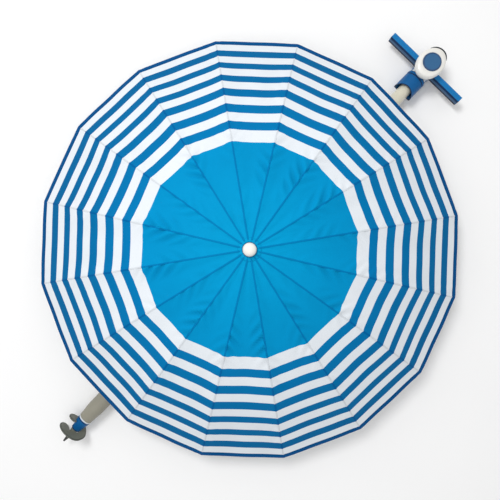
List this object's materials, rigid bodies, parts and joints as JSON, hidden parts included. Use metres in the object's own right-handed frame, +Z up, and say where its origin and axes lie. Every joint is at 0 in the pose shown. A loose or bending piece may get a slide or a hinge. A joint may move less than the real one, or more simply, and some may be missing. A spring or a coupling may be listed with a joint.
{
  "type": "beach umbrella",
  "caption": "Striped dome canopy on a folding rib frame, carried by a sliding swivel head on a telescopic mast with a screw-in sand anchor and a T handle.",
  "frame": {"origin": "on the ground below the canopy's axis, in the middle of the flat underside of the swivel head", "axes": "+X along the mast towards the T handle, +Z up along the canopy's axis, +Y across the mast"},
  "size_m": [1.9897, 1.489, 0.4714],
  "materials": {
    "canopy_cloth": "woven polyester, matt, striped",
    "finial": "satin white",
    "frame_nylon": "moulded nylon",
    "stem_metal": "satin",
    "stretcher_metal": "natural satin",
    "glass_fibre": "pultruded glass fibre, satin black",
    "blue_moulding": "fine-grained moulding",
    "bar_plastic": "ribbed moulding",
    "button_plastic": "fine-grained moulding",
    "white_moulding": "satin",
    "ring_plastic": "satin",
    "putty_tube": "powder coated",
    "ivory_tube": "gloss powder coated",
    "sleeve_plastic": "moulded",
    "lever_plastic": "moulded",
    "auger_plastic": "glass-filled moulding",
    "black_rubber": "matt"
  },
  "bodies": {
    "lower_mast": {"lower_tube": "putty_tube", "tube_bushing": "frame_nylon", "lock_collar": "blue_moulding", "anchor_ring": "ring_plastic", "anchor_plug": "blue_moulding", "auger": "auger_plastic"},
    "lever": {"lock_lever": "lever_plastic"},
    "upper_mast": {"upper_tube": "ivory_tube", "handle_socket": "blue_moulding", "handle_neck": "ring_plastic", "handle_bar": "bar_plastic", "hub_base": "blue_moulding", "hub_dome": "white_moulding", "hub_bumper": "black_rubber", "button_spring": "stem_metal"},
    "button": {"hub_button": "button_plastic"},
    "sleeve": {"clamp_sleeve": "sleeve_plastic", "retainer_ring": "stem_metal"},
    "knob": {"clamp_knob": "blue_moulding"},
    "head": {"swivel_head": "blue_moulding", "stem_screw": "black_rubber", "stem_outer": "stem_metal", "runner": "frame_nylon"},
    "stem_middle": {"stem_middle": "stem_metal"},
    "crown": {"crown": "frame_nylon", "stem_inner": "stem_metal", "canopy": "canopy_cloth", "finial": "finial"},
    "rib_01": {"rib_01": "glass_fibre"},
    "rib_02": {"rib_02": "glass_fibre"},
    "rib_03": {"rib_03": "glass_fibre"},
    "rib_04": {"rib_04": "glass_fibre"},
    "rib_05": {"rib_05": "glass_fibre"},
    "rib_06": {"rib_06": "glass_fibre"},
    "rib_07": {"rib_07": "glass_fibre"},
    "rib_08": {"rib_08": "glass_fibre"},
    "rib_09": {"rib_09": "glass_fibre"},
    "rib_10": {"rib_10": "glass_fibre"},
    "rib_11": {"rib_11": "glass_fibre"},
    "rib_12": {"rib_12": "glass_fibre"},
    "rib_13": {"rib_13": "glass_fibre"},
    "rib_14": {"rib_14": "glass_fibre"},
    "rib_15": {"rib_15": "glass_fibre"},
    "rib_16": {"rib_16": "glass_fibre"},
    "stretcher_01": {"stretcher_01": "stretcher_metal"},
    "stretcher_02": {"stretcher_02": "stretcher_metal"},
    "stretcher_03": {"stretcher_03": "stretcher_metal"},
    "stretcher_04": {"stretcher_04": "stretcher_metal"},
    "stretcher_05": {"stretcher_05": "stretcher_metal"},
    "stretcher_06": {"stretcher_06": "stretcher_metal"},
    "stretcher_07": {"stretcher_07": "stretcher_metal"},
    "stretcher_08": {"stretcher_08": "stretcher_metal"},
    "stretcher_09": {"stretcher_09": "stretcher_metal"},
    "stretcher_10": {"stretcher_10": "stretcher_metal"},
    "stretcher_11": {"stretcher_11": "stretcher_metal"},
    "stretcher_12": {"stretcher_12": "stretcher_metal"},
    "stretcher_13": {"stretcher_13": "stretcher_metal"},
    "stretcher_14": {"stretcher_14": "stretcher_metal"},
    "stretcher_15": {"stretcher_15": "stretcher_metal"},
    "stretcher_16": {"stretcher_16": "stretcher_metal"}
  },
  "joints": [
    {"name": "mast_extend", "type": "slide", "parent": "lower_mast", "child": "upper_mast", "axis": [1, 0, 0], "range_m": [-0.12, 0.1]},
    {"name": "lock_lever_turn", "type": "hinge", "parent": "lower_mast", "child": "lever", "pos_m": [-0.276, -0.048, 0.052], "axis": [0, 0, 1], "range_deg": [0, 110]},
    {"name": "button_press", "type": "slide", "parent": "upper_mast", "child": "button", "axis": [0, 0, -1], "range_m": [0, 0.004], "stiffness_N_per_m": 900, "springref_m": -0.002, "deforming": ["button_spring"]},
    {"name": "head_slide", "type": "slide", "parent": "upper_mast", "child": "sleeve", "axis": [1, 0, 0], "range_m": [0, 0.1]},
    {"name": "clamp_knob_turn", "type": "hinge", "parent": "sleeve", "child": "knob", "pos_m": [-0.0685, -0.0635, 0.052], "axis": [0, 1, 0], "range_deg": [0, 180]},
    {"name": "swivel", "type": "hinge", "parent": "sleeve", "child": "head", "pos_m": [0, 0, 0.052], "axis": [1, 0, 0], "range_deg": [-90, 90]},
    {"name": "fold", "type": "slide", "parent": "head", "child": "crown", "axis": [0, 0, 1], "range_m": [0, 0.4928], "deforming": ["canopy"]},
    {"name": "stem_extend", "type": "slide", "parent": "head", "child": "stem_middle", "axis": [0, 0, 1], "range_m": [0, 0.247]},
    {"name": "rib_01_hinge", "type": "hinge", "parent": "crown", "child": "rib_01", "pos_m": [0.03094, 0.00462, 0.43861], "axis": [-0.1478, 0.989, 0], "range_deg": [0, 64.3]},
    {"name": "rib_02_hinge", "type": "hinge", "parent": "crown", "child": "rib_02", "pos_m": [0.02682, 0.01611, 0.43861], "axis": [-0.515, 0.8572, 0], "range_deg": [0, 64.3]},
    {"name": "rib_03_hinge", "type": "hinge", "parent": "crown", "child": "rib_03", "pos_m": [0.01861, 0.02515, 0.43861], "axis": [-0.8039, 0.5948, 0], "range_deg": [0, 64.3]},
    {"name": "rib_04_hinge", "type": "hinge", "parent": "crown", "child": "rib_04", "pos_m": [0.00757, 0.03036, 0.43861], "axis": [-0.9703, 0.2419, 0], "range_deg": [0, 64.3]},
    {"name": "rib_05_hinge", "type": "hinge", "parent": "crown", "child": "rib_05", "pos_m": [-0.00462, 0.03094, 0.43861], "axis": [-0.989, -0.1478, 0], "range_deg": [0, 64.3]},
    {"name": "rib_06_hinge", "type": "hinge", "parent": "crown", "child": "rib_06", "pos_m": [-0.01611, 0.02682, 0.43861], "axis": [-0.8572, -0.515, 0], "range_deg": [0, 64.3]},
    {"name": "rib_07_hinge", "type": "hinge", "parent": "crown", "child": "rib_07", "pos_m": [-0.02515, 0.01861, 0.43861], "axis": [-0.5948, -0.8039, 0], "range_deg": [0, 64.3]},
    {"name": "rib_08_hinge", "type": "hinge", "parent": "crown", "child": "rib_08", "pos_m": [-0.03036, 0.00757, 0.43861], "axis": [-0.2419, -0.9703, 0], "range_deg": [0, 64.3]},
    {"name": "rib_09_hinge", "type": "hinge", "parent": "crown", "child": "rib_09", "pos_m": [-0.03094, -0.00462, 0.43861], "axis": [0.1478, -0.989, 0], "range_deg": [0, 64.3]},
    {"name": "rib_10_hinge", "type": "hinge", "parent": "crown", "child": "rib_10", "pos_m": [-0.02682, -0.01611, 0.43861], "axis": [0.515, -0.8572, 0], "range_deg": [0, 64.3]},
    {"name": "rib_11_hinge", "type": "hinge", "parent": "crown", "child": "rib_11", "pos_m": [-0.01861, -0.02515, 0.43861], "axis": [0.8039, -0.5948, 0], "range_deg": [0, 64.3]},
    {"name": "rib_12_hinge", "type": "hinge", "parent": "crown", "child": "rib_12", "pos_m": [-0.00757, -0.03036, 0.43861], "axis": [0.9703, -0.2419, 0], "range_deg": [0, 64.3]},
    {"name": "rib_13_hinge", "type": "hinge", "parent": "crown", "child": "rib_13", "pos_m": [0.00462, -0.03094, 0.43861], "axis": [0.989, 0.1478, 0], "range_deg": [0, 64.3]},
    {"name": "rib_14_hinge", "type": "hinge", "parent": "crown", "child": "rib_14", "pos_m": [0.01611, -0.02682, 0.43861], "axis": [0.8572, 0.515, 0], "range_deg": [0, 64.3]},
    {"name": "rib_15_hinge", "type": "hinge", "parent": "crown", "child": "rib_15", "pos_m": [0.02515, -0.01861, 0.43861], "axis": [0.5948, 0.8039, 0], "range_deg": [0, 64.3]},
    {"name": "rib_16_hinge", "type": "hinge", "parent": "crown", "child": "rib_16", "pos_m": [0.03036, -0.00757, 0.43861], "axis": [0.2419, 0.9703, 0], "range_deg": [0, 64.3]},
    {"name": "stretcher_01_hinge", "type": "hinge", "parent": "head", "child": "stretcher_01", "pos_m": [0.02769, 0.00414, 0.134], "axis": [0.1478, -0.989, 0], "range_deg": [0, 52.5]},
    {"name": "stretcher_02_hinge", "type": "hinge", "parent": "head", "child": "stretcher_02", "pos_m": [0.024, 0.01442, 0.134], "axis": [0.515, -0.8572, 0], "range_deg": [0, 52.5]},
    {"name": "stretcher_03_hinge", "type": "hinge", "parent": "head", "child": "stretcher_03", "pos_m": [0.01665, 0.02251, 0.134], "axis": [0.8039, -0.5948, 0], "range_deg": [0, 52.5]},
    {"name": "stretcher_04_hinge", "type": "hinge", "parent": "head", "child": "stretcher_04", "pos_m": [0.00677, 0.02717, 0.134], "axis": [0.9703, -0.2419, 0], "range_deg": [0, 52.5]},
    {"name": "stretcher_05_hinge", "type": "hinge", "parent": "head", "child": "stretcher_05", "pos_m": [-0.00414, 0.02769, 0.134], "axis": [0.989, 0.1478, 0], "range_deg": [0, 52.5]},
    {"name": "stretcher_06_hinge", "type": "hinge", "parent": "head", "child": "stretcher_06", "pos_m": [-0.01442, 0.024, 0.134], "axis": [0.8572, 0.515, 0], "range_deg": [0, 52.5]},
    {"name": "stretcher_07_hinge", "type": "hinge", "parent": "head", "child": "stretcher_07", "pos_m": [-0.02251, 0.01665, 0.134], "axis": [0.5948, 0.8039, 0], "range_deg": [0, 52.5]},
    {"name": "stretcher_08_hinge", "type": "hinge", "parent": "head", "child": "stretcher_08", "pos_m": [-0.02717, 0.00677, 0.134], "axis": [0.2419, 0.9703, 0], "range_deg": [0, 52.5]},
    {"name": "stretcher_09_hinge", "type": "hinge", "parent": "head", "child": "stretcher_09", "pos_m": [-0.02769, -0.00414, 0.134], "axis": [-0.1478, 0.989, 0], "range_deg": [0, 52.5]},
    {"name": "stretcher_10_hinge", "type": "hinge", "parent": "head", "child": "stretcher_10", "pos_m": [-0.024, -0.01442, 0.134], "axis": [-0.515, 0.8572, 0], "range_deg": [0, 52.5]},
    {"name": "stretcher_11_hinge", "type": "hinge", "parent": "head", "child": "stretcher_11", "pos_m": [-0.01665, -0.02251, 0.134], "axis": [-0.8039, 0.5948, 0], "range_deg": [0, 52.5]},
    {"name": "stretcher_12_hinge", "type": "hinge", "parent": "head", "child": "stretcher_12", "pos_m": [-0.00677, -0.02717, 0.134], "axis": [-0.9703, 0.2419, 0], "range_deg": [0, 52.5]},
    {"name": "stretcher_13_hinge", "type": "hinge", "parent": "head", "child": "stretcher_13", "pos_m": [0.00414, -0.02769, 0.134], "axis": [-0.989, -0.1478, 0], "range_deg": [0, 52.5]},
    {"name": "stretcher_14_hinge", "type": "hinge", "parent": "head", "child": "stretcher_14", "pos_m": [0.01442, -0.024, 0.134], "axis": [-0.8572, -0.515, 0], "range_deg": [0, 52.5]},
    {"name": "stretcher_15_hinge", "type": "hinge", "parent": "head", "child": "stretcher_15", "pos_m": [0.02251, -0.01665, 0.134], "axis": [-0.5948, -0.8039, 0], "range_deg": [0, 52.5]},
    {"name": "stretcher_16_hinge", "type": "hinge", "parent": "head", "child": "stretcher_16", "pos_m": [0.02717, -0.00677, 0.134], "axis": [-0.2419, -0.9703, 0], "range_deg": [0, 52.5]}
  ],
  "couplings": [
    {"joint": "stem_extend", "follows": "fold", "ratio": 0.5},
    {"joint": "rib_01_hinge", "follows": "fold", "rad_per_m": 2.2753},
    {"joint": "rib_02_hinge", "follows": "fold", "rad_per_m": 2.2753},
    {"joint": "rib_03_hinge", "follows": "fold", "rad_per_m": 2.2753},
    {"joint": "rib_04_hinge", "follows": "fold", "rad_per_m": 2.2753},
    {"joint": "rib_05_hinge", "follows": "fold", "rad_per_m": 2.2753},
    {"joint": "rib_06_hinge", "follows": "fold", "rad_per_m": 2.2753},
    {"joint": "rib_07_hinge", "follows": "fold", "rad_per_m": 2.2753},
    {"joint": "rib_08_hinge", "follows": "fold", "rad_per_m": 2.2753},
    {"joint": "rib_09_hinge", "follows": "fold", "rad_per_m": 2.2753},
    {"joint": "rib_10_hinge", "follows": "fold", "rad_per_m": 2.2753},
    {"joint": "rib_11_hinge", "follows": "fold", "rad_per_m": 2.2753},
    {"joint": "rib_12_hinge", "follows": "fold", "rad_per_m": 2.2753},
    {"joint": "rib_13_hinge", "follows": "fold", "rad_per_m": 2.2753},
    {"joint": "rib_14_hinge", "follows": "fold", "rad_per_m": 2.2753},
    {"joint": "rib_15_hinge", "follows": "fold", "rad_per_m": 2.2753},
    {"joint": "rib_16_hinge", "follows": "fold", "rad_per_m": 2.2753},
    {"joint": "stretcher_01_hinge", "follows": "fold", "rad_per_m": 1.855},
    {"joint": "stretcher_02_hinge", "follows": "fold", "rad_per_m": 1.855},
    {"joint": "stretcher_03_hinge", "follows": "fold", "rad_per_m": 1.855},
    {"joint": "stretcher_04_hinge", "follows": "fold", "rad_per_m": 1.855},
    {"joint": "stretcher_05_hinge", "follows": "fold", "rad_per_m": 1.855},
    {"joint": "stretcher_06_hinge", "follows": "fold", "rad_per_m": 1.855},
    {"joint": "stretcher_07_hinge", "follows": "fold", "rad_per_m": 1.855},
    {"joint": "stretcher_08_hinge", "follows": "fold", "rad_per_m": 1.855},
    {"joint": "stretcher_09_hinge", "follows": "fold", "rad_per_m": 1.855},
    {"joint": "stretcher_10_hinge", "follows": "fold", "rad_per_m": 1.855},
    {"joint": "stretcher_11_hinge", "follows": "fold", "rad_per_m": 1.855},
    {"joint": "stretcher_12_hinge", "follows": "fold", "rad_per_m": 1.855},
    {"joint": "stretcher_13_hinge", "follows": "fold", "rad_per_m": 1.855},
    {"joint": "stretcher_14_hinge", "follows": "fold", "rad_per_m": 1.855},
    {"joint": "stretcher_15_hinge", "follows": "fold", "rad_per_m": 1.855},
    {"joint": "stretcher_16_hinge", "follows": "fold", "rad_per_m": 1.855}
  ]
}
